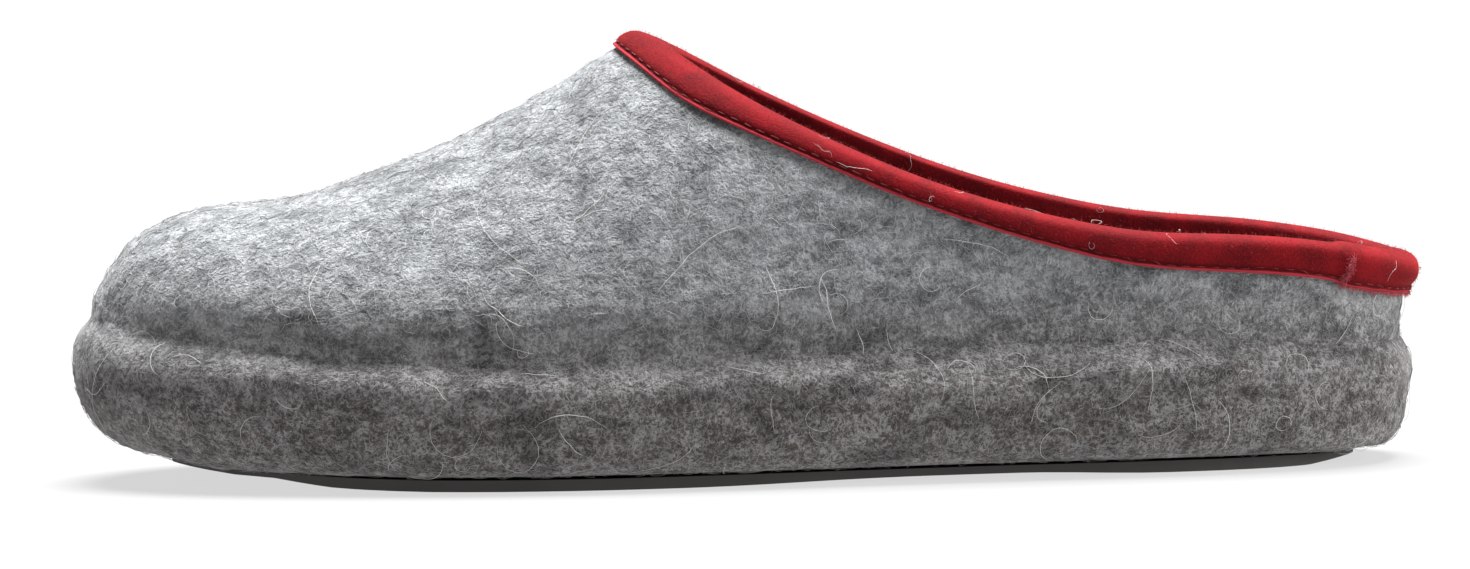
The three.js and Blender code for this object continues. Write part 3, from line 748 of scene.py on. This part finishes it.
class SLIPPER_OT_binding(bpy.types.Operator):
    """Velvet tape round the collar with its woven edge, and the stitches that hold it"""

    bl_idname = "slipper.binding"
    bl_label = "Tape binding"

    def execute(self, context):
        tape = context.scene.slipper_tape
        made = smooth_copy("binding", "velvet_binding", red_velvet("Velvet tape, red"), 2)
        edge = collar_edge()
        search = search_of(edge)
        width = tape.selvage_width
        away = [search.find(vertex.co)[2] for vertex in made.data.vertices]
        selvage = made.data.attributes.new("selvage", "FLOAT", "POINT")
        selvage.data.foreach_set("value", [1 - eased(width * 0.8, width * 1.2, off) for off in away])
        # Painted shade: where the band along the stitches is darkened
        groove_painted_shade = made.data.attributes.new("groove_painted_shade", "FLOAT", "POINT")
        shares = [0.8 * math.exp(-((off / width - 1.8) ** 2)) for off in away]
        groove_painted_shade.data.foreach_set("value", shares)
        ride_as(made, "binding", "binding")
        self.add_stitches(made.data, edge, tape)
        return {"FINISHED"}

    def add_stitches(self, mesh, edge, tape):
        """A row of stitches above the tape's lower edge, each with both ends sunk into the tape."""
        surface = tree_of(mesh)
        pitch = tape.stitch_length + tape.stitch_gap
        count = int(len(edge) * EDGE_STEP / pitch)
        ups = up_the_tape(surface, edge)
        paths, outs = [], []
        for index in range(count):
            path, out = [], []
            for step in range(5):
                at = (index + step / 4 * tape.stitch_length / pitch) / count * len(edge)
                near = int(at) % len(edge)
                aim = Vector(edge[near] + ups[near] * tape.stitch_height)
                place, normal, _, _ = surface.find_nearest(aim)
                sunk = -0.5 if step in (0, 4) else 0.35
                path.append(place + normal * tape.stitch_radius * sunk)
                out.append(normal)
            paths.append(path)
            outs.append(out)
        thread = single_fibres("Sewing thread, red", tape.thread, 0.5)
        radius = np.full(count, tape.stitch_radius)
        stitches = fibre_mesh("stitches", np.array(paths), np.array(outs), radius, 6)
        ride_as(add_object("tape_stitches", stitches, thread), "binding")


def open_faces(mesh, covers):
    """Centres, normals and shares of the faces that nothing covers. A face that looks into the shoe gets a
    small share."""
    own = tree_of(mesh)
    centres, normals, shares = [], [], []
    for face in mesh.polygons:
        start = face.center + face.normal * RAY_START
        if covers.ray_cast(start, face.normal, COVER_REACH)[0] is None:
            looks_in = own.ray_cast(start, face.normal, SHOE_REACH)[0] is not None
            centres.append(face.center)
            normals.append(face.normal)
            shares.append(face.area * (INSIDE_SHARE if looks_in else 1))
    return np.array(centres), np.array(normals), np.array(shares)


def curled_paths(surface, starts, ups, lengths, steps, curl, lifts, rng):
    """Paths that wander over a surface and stand off it in the middle."""
    count = len(starts)
    place = starts.copy()
    up = ups.copy()
    paths = np.empty((count, steps, 3))
    raised = np.empty_like(paths)
    heading = rng.normal(size=(count, 3))
    bend = rng.normal(0, curl, count)
    for step in range(steps):
        for index in range(count):
            near, normal, _, _ = surface.find_nearest(Vector(place[index]))
            place[index] = near
            up[index] = normal
        heading -= (heading * up).sum(1, keepdims=True) * up
        heading /= np.linalg.norm(heading, axis=1, keepdims=True) + 1e-12
        arch = math.sin(math.pi * step / (steps - 1))
        paths[:, step] = place + up * (lifts * arch)[:, None]
        raised[:, step] = up
        turn = (bend + rng.normal(0, curl * 0.6, count))[:, None]
        heading = heading * np.cos(turn) + np.cross(up, heading) * np.sin(turn)
        place = place + heading * (lengths / (steps - 1))[:, None]
    return paths, raised


def wool_on(name, source, covers, count, seed, material, slot):
    """Curled fibres that lie on one felt piece."""
    felt = bpy.context.scene.slipper_felt
    rng = np.random.default_rng(seed)
    mesh = bpy.data.objects[source].data
    centres, normals, shares = open_faces(mesh, covers)
    chosen = rng.choice(len(centres), count, p=shares / shares.sum())
    starts = centres[chosen] + rng.normal(0, 0.7 * MM, (count, 3))
    lengths = felt.fibre_length * rng.lognormal(0, 0.4, count)
    lifts = felt.fibre_lift * rng.random(count) ** 1.5
    paths, ups = curled_paths(tree_of(mesh), starts, normals[chosen], lengths, FIBRE_POINTS, 0.6, lifts, rng)
    radius = felt.fibre_radius * rng.uniform(0.7, 1.3, count)
    shades = rng.beta(1.8, 1.3, count)
    made = add_object(name, fibre_mesh(name, paths, ups, radius, 3, shades), material)
    ride_as(made, slot)


def stray_hairs(name, source, covers, count, length, radius, curl, seed, material, slot):
    """Long hairs that lie loosely on one piece, with middles that stand off it."""
    felt = bpy.context.scene.slipper_felt
    rng = np.random.default_rng(seed)
    mesh = bpy.data.objects[source].data
    centres, normals, shares = open_faces(mesh, covers)
    chosen = rng.choice(len(centres), count, p=shares / shares.sum())
    lengths = length * rng.lognormal(0, 0.35, count)
    lifts = felt.hair_lift * rng.random(count)
    starts, ups = centres[chosen], normals[chosen]
    paths, ups = curled_paths(tree_of(mesh), starts, ups, lengths, HAIR_POINTS, curl, lifts, rng)
    radii = radius * rng.uniform(0.8, 1.2, count)
    made = add_object(name, fibre_mesh(name, paths, ups, radii, 3), material)
    ride_as(made, slot)


def short_hairs(name, starts, ways, lengths, radius, material, rng):
    """Short bent hairs that stand on the tape."""
    count = len(starts)
    lean = ways + rng.normal(0, 0.45, (count, 3))
    lean /= np.linalg.norm(lean, axis=1, keepdims=True)
    droop = rng.normal(0, 0.3, (count, 3))
    shares = np.linspace(0, 1, SHORT_POINTS)[None, :, None]
    paths = starts[:, None] + (lean[:, None] * shares + droop[:, None] * shares**2) * lengths[:, None, None]
    sideways = np.broadcast_to(np.cross(lean, ANY_WAY)[:, None], paths.shape)
    thick = radius * rng.uniform(0.7, 1.2, count)
    made = add_object(name, fibre_mesh(name, paths, sideways, thick, 3), material)
    ride_as(made, "binding")


class SLIPPER_OT_pile(bpy.types.Operator):
    """Loose pile on the velvet, and the frayed end of the tape where it laps at the heel"""

    bl_idname = "slipper.pile"
    bl_label = "Velvet pile"

    def execute(self, context):
        tape = context.scene.slipper_tape
        rng = np.random.default_rng(context.scene.slipper_felt.seed + 31)
        mesh = bpy.data.objects["velvet_binding"].data
        centres, normals, shares = open_faces(mesh, node_tree("upper"))
        chosen = rng.choice(len(centres), tape.pile_hairs, p=shares / shares.sum())
        starts = centres[chosen] + rng.normal(0, 0.4 * MM, (tape.pile_hairs, 3))
        surface = tree_of(mesh)
        starts = np.array([surface.find_nearest(Vector(start))[0] for start in starts])
        lengths = tape.pile_length * rng.uniform(0.6, 1.4, tape.pile_hairs)
        red = single_fibres("Velvet pile, red", tape.pile, 0.8)
        short_hairs("velvet_pile", starts, normals[chosen], lengths, tape.pile_radius, red, rng)
        self.add_fringe(surface, tape, rng)
        return {"FINISHED"}

    def add_fringe(self, surface, tape, rng):
        """Frayed threads up the lap's end on the outer side, and along the tape's lower edge behind it."""
        edge = collar_edge()
        ups = up_the_tape(surface, edge)
        outer = [index for index, point in enumerate(edge) if point[1] < 0]
        lap = min(outer, key=lambda index: abs(edge[index][0] - tape.lap_place))
        behind = [index for index in outer if edge[index][0] > tape.lap_place]
        starts, ways, lengths = [], [], []
        for _ in range(tape.lap_threads):
            aim = Vector(edge[lap] + ups[lap] * rng.uniform(0, tape.lap_height))
            place, normal, _, _ = surface.find_nearest(aim + Vector((rng.normal(0, 0.4 * MM), 0, 0)))
            starts.append(place)
            ways.append(normal * 0.5 + Vector((-1, 0, rng.normal(0, 0.6))))
            lengths.append(rng.uniform(0.5, 1.5) * tape.fringe_length)
        for _ in range(tape.edge_threads):
            index = behind[rng.integers(len(behind))]
            place, normal, _, _ = surface.find_nearest(Vector(edge[index]))
            starts.append(place)
            ways.append(normal * 0.6 - Vector(ups[index]))
            lengths.append(rng.uniform(0.4, 1.2) * tape.fringe_length)
        pink = single_fibres("Frayed tape ends, pale red", tape.fringe, 0.7)
        starts, ways, lengths = np.array(starts), np.array(ways), np.array(lengths)
        short_hairs("tape_fringe", starts, ways, lengths, tape.fringe_radius, pink, rng)


class SLIPPER_OT_wool(bpy.types.Operator):
    """Loose curled fibres on the felt, and long stray hairs"""

    bl_idname = "slipper.wool"
    bl_label = "Loose wool"

    def execute(self, context):
        felt = context.scene.slipper_felt
        material = single_wool("Wool fibres, grey")
        around_upper = node_tree("binding", "footbed", "felt_sole")
        around_sole = node_tree("outsole", "footbed", "upper")
        for index in range(2):
            name = f"upper_wool_{index + 1}"
            wool_on(name, "felt_upper", around_upper, felt.fibres, felt.seed + index, material, "upper_felt")
        seed = felt.seed + 11
        wool_on("sole_wool", "felt_sole_skin", around_sole, felt.fibres, seed, material, "sole_felt")
        half = felt.hairs // 2
        long, short = felt.hair_length, felt.hair_length / 2
        thick, thin = felt.hair_radius, felt.hair_radius / 2
        around_tape = node_tree("upper")
        hairs = (
            ("upper_hairs", "felt_upper", around_upper, half, long, thick, 0.22, "upper_felt"),
            ("sole_hairs", "felt_sole_skin", around_sole, half, long, thick, 0.22, "sole_felt"),
            ("tape_hairs", "velvet_binding", around_tape, half // 4, short, thin, 0.5, "binding"),
        )
        pale = single_fibres("Long wool hairs, pale", felt.hair, 0.6)
        for row, (name, source, covers, count, length, radius, curl, slot) in enumerate(hairs):
            seed = felt.seed + 21 + row
            stray_hairs(name, source, covers, count, length, radius, curl, seed, pale, slot)
        return {"FINISHED"}


class SLIPPER_OT_studio(bpy.types.Operator):
    """Pale floor, overhead light and the photo's camera"""

    bl_idname = "slipper.studio"
    bl_label = "Studio"

    def execute(self, context):
        studio = context.scene.slipper_studio
        self.add_floor(studio)
        self.add_light(context.scene, studio)
        self.add_camera(context.scene, studio)
        return {"FINISHED"}

    def add_floor(self, studio):
        """A plain table that glows faintly, so that the slipper's shadow stays soft and pale."""
        material, tree = new_material("Acrylic light table")
        inputs = {
            "Base Color": opaque(studio.floor),
            "Roughness": 0.9,
            "Specular IOR Level": 0.0,
            "Emission Color": (1, 1, 1, 1),
            "Emission Strength": studio.glow,
        }
        shader = add_node(tree, "BsdfPrincipled", inputs)
        add_node(tree, "OutputMaterial", {"Surface": shader})
        work = bmesh.new()
        bmesh.ops.create_grid(work, x_segments=1, y_segments=1, size=FLOOR_REACH)
        mesh = bpy.data.meshes.new("floor")
        work.to_mesh(mesh)
        work.free()
        add_object("floor", mesh, material)

    def add_light(self, scene, studio):
        """A wide soft light overhead, a lamp by the heel and a little light from all round."""
        light = bpy.data.lights.new("overhead", "SUN")
        light.energy = studio.sun
        light.angle = studio.sun_width
        lamp = bpy.data.objects.new("overhead", light)
        lamp.rotation_euler = (-studio.sun_back, studio.sun_heel, 0)
        scene.collection.objects.link(lamp)
        self.add_heel_lamp(scene, studio)
        world = bpy.data.worlds.new("studio")
        world.use_nodes = True
        background = world.node_tree.nodes["Background"]
        background.inputs["Color"].default_value = (1, 1, 1, 1)
        background.inputs["Strength"].default_value = studio.fill
        scene.world = world
        scene.view_settings.view_transform = "Standard"

    def add_heel_lamp(self, scene, studio):
        """A small soft lamp that lights the heel's end."""
        light = bpy.data.lights.new("heel_lamp", "AREA")
        light.energy = studio.lamp
        light.size = LAMP_SIZE
        lamp = bpy.data.objects.new("heel_lamp", light)
        lamp.location = LAMP_PLACE
        lamp.rotation_euler = (Vector(LAMP_PLACE) - Vector(LAMP_AIM)).to_track_quat("Z", "Y").to_euler()
        scene.collection.objects.link(lamp)

    def add_camera(self, scene, studio):
        """The slipper's middle, at TARGET, falls on the photo's pixel TARGET_PIXEL."""
        camera = bpy.data.cameras.new("camera")
        camera.lens = studio.pixels_per_metre * studio.distance / PHOTO_WIDTH * camera.sensor_width
        camera.shift_x = (PHOTO_WIDTH / 2 - TARGET_PIXEL[0]) / PHOTO_WIDTH
        camera.shift_y = (TARGET_PIXEL[1] - PHOTO_HEIGHT / 2) / PHOTO_WIDTH
        camera.clip_end = 100
        flat = math.cos(studio.elevation)
        x, y = math.sin(studio.azimuth) * flat, -math.cos(studio.azimuth) * flat
        back = Vector((x, y, math.sin(studio.elevation)))
        right = Vector((math.cos(studio.azimuth), math.sin(studio.azimuth), 0))
        up = back.cross(right)
        turned = Matrix((right, up, back)).transposed().to_4x4()
        holder = bpy.data.objects.new("camera", camera)
        place = Matrix.Translation(Vector(TARGET) + back * studio.distance)
        holder.matrix_world = place @ turned @ Matrix.Rotation(-studio.roll, 4, "Z")
        scene.collection.objects.link(holder)
        scene.camera = holder


class SLIPPER_PT_panel(bpy.types.Panel):
    """The slipper's pieces"""

    bl_idname = "SLIPPER_PT_panel"
    bl_label = "Slipper"
    bl_space_type = "VIEW_3D"
    bl_region_type = "UI"
    bl_category = "Slipper"

    def draw(self, context):
        for operator in OPERATORS:
            self.layout.operator(operator.bl_idname)
        for name in SETTINGS:
            group = getattr(context.scene, name)
            for prop in group.bl_rna.properties:
                if prop.identifier not in {"rna_type", "name"}:
                    self.layout.prop(group, prop.identifier)


SETTINGS = {
    "slipper_felt": FeltSettings,
    "slipper_tape": TapeSettings,
    "slipper_rubber": RubberSettings,
    "slipper_studio": StudioSettings,
}
OPERATORS = (
    SLIPPER_OT_upper,
    SLIPPER_OT_sole,
    SLIPPER_OT_footbed,
    SLIPPER_OT_outsole,
    SLIPPER_OT_binding,
    SLIPPER_OT_pile,
    SLIPPER_OT_wool,
    SLIPPER_OT_studio,
)


def register():
    for group in SETTINGS.values():
        bpy.utils.register_class(group)
    for name, group in SETTINGS.items():
        setattr(bpy.types.Scene, name, bpy.props.PointerProperty(type=group))
    for operator in OPERATORS:
        bpy.utils.register_class(operator)
    bpy.utils.register_class(SLIPPER_PT_panel)


def unregister():
    bpy.utils.unregister_class(SLIPPER_PT_panel)
    for operator in reversed(OPERATORS):
        bpy.utils.unregister_class(operator)
    for name, group in SETTINGS.items():
        delattr(bpy.types.Scene, name)
        bpy.utils.unregister_class(group)


def main():
    register()
    bpy.ops.slipper.upper()
    bpy.ops.slipper.sole()
    bpy.ops.slipper.footbed()
    bpy.ops.slipper.outsole()
    bpy.ops.slipper.binding()
    bpy.ops.slipper.pile()
    bpy.ops.slipper.wool()
    bpy.ops.slipper.studio()


if __name__ == "__main__":
    main()
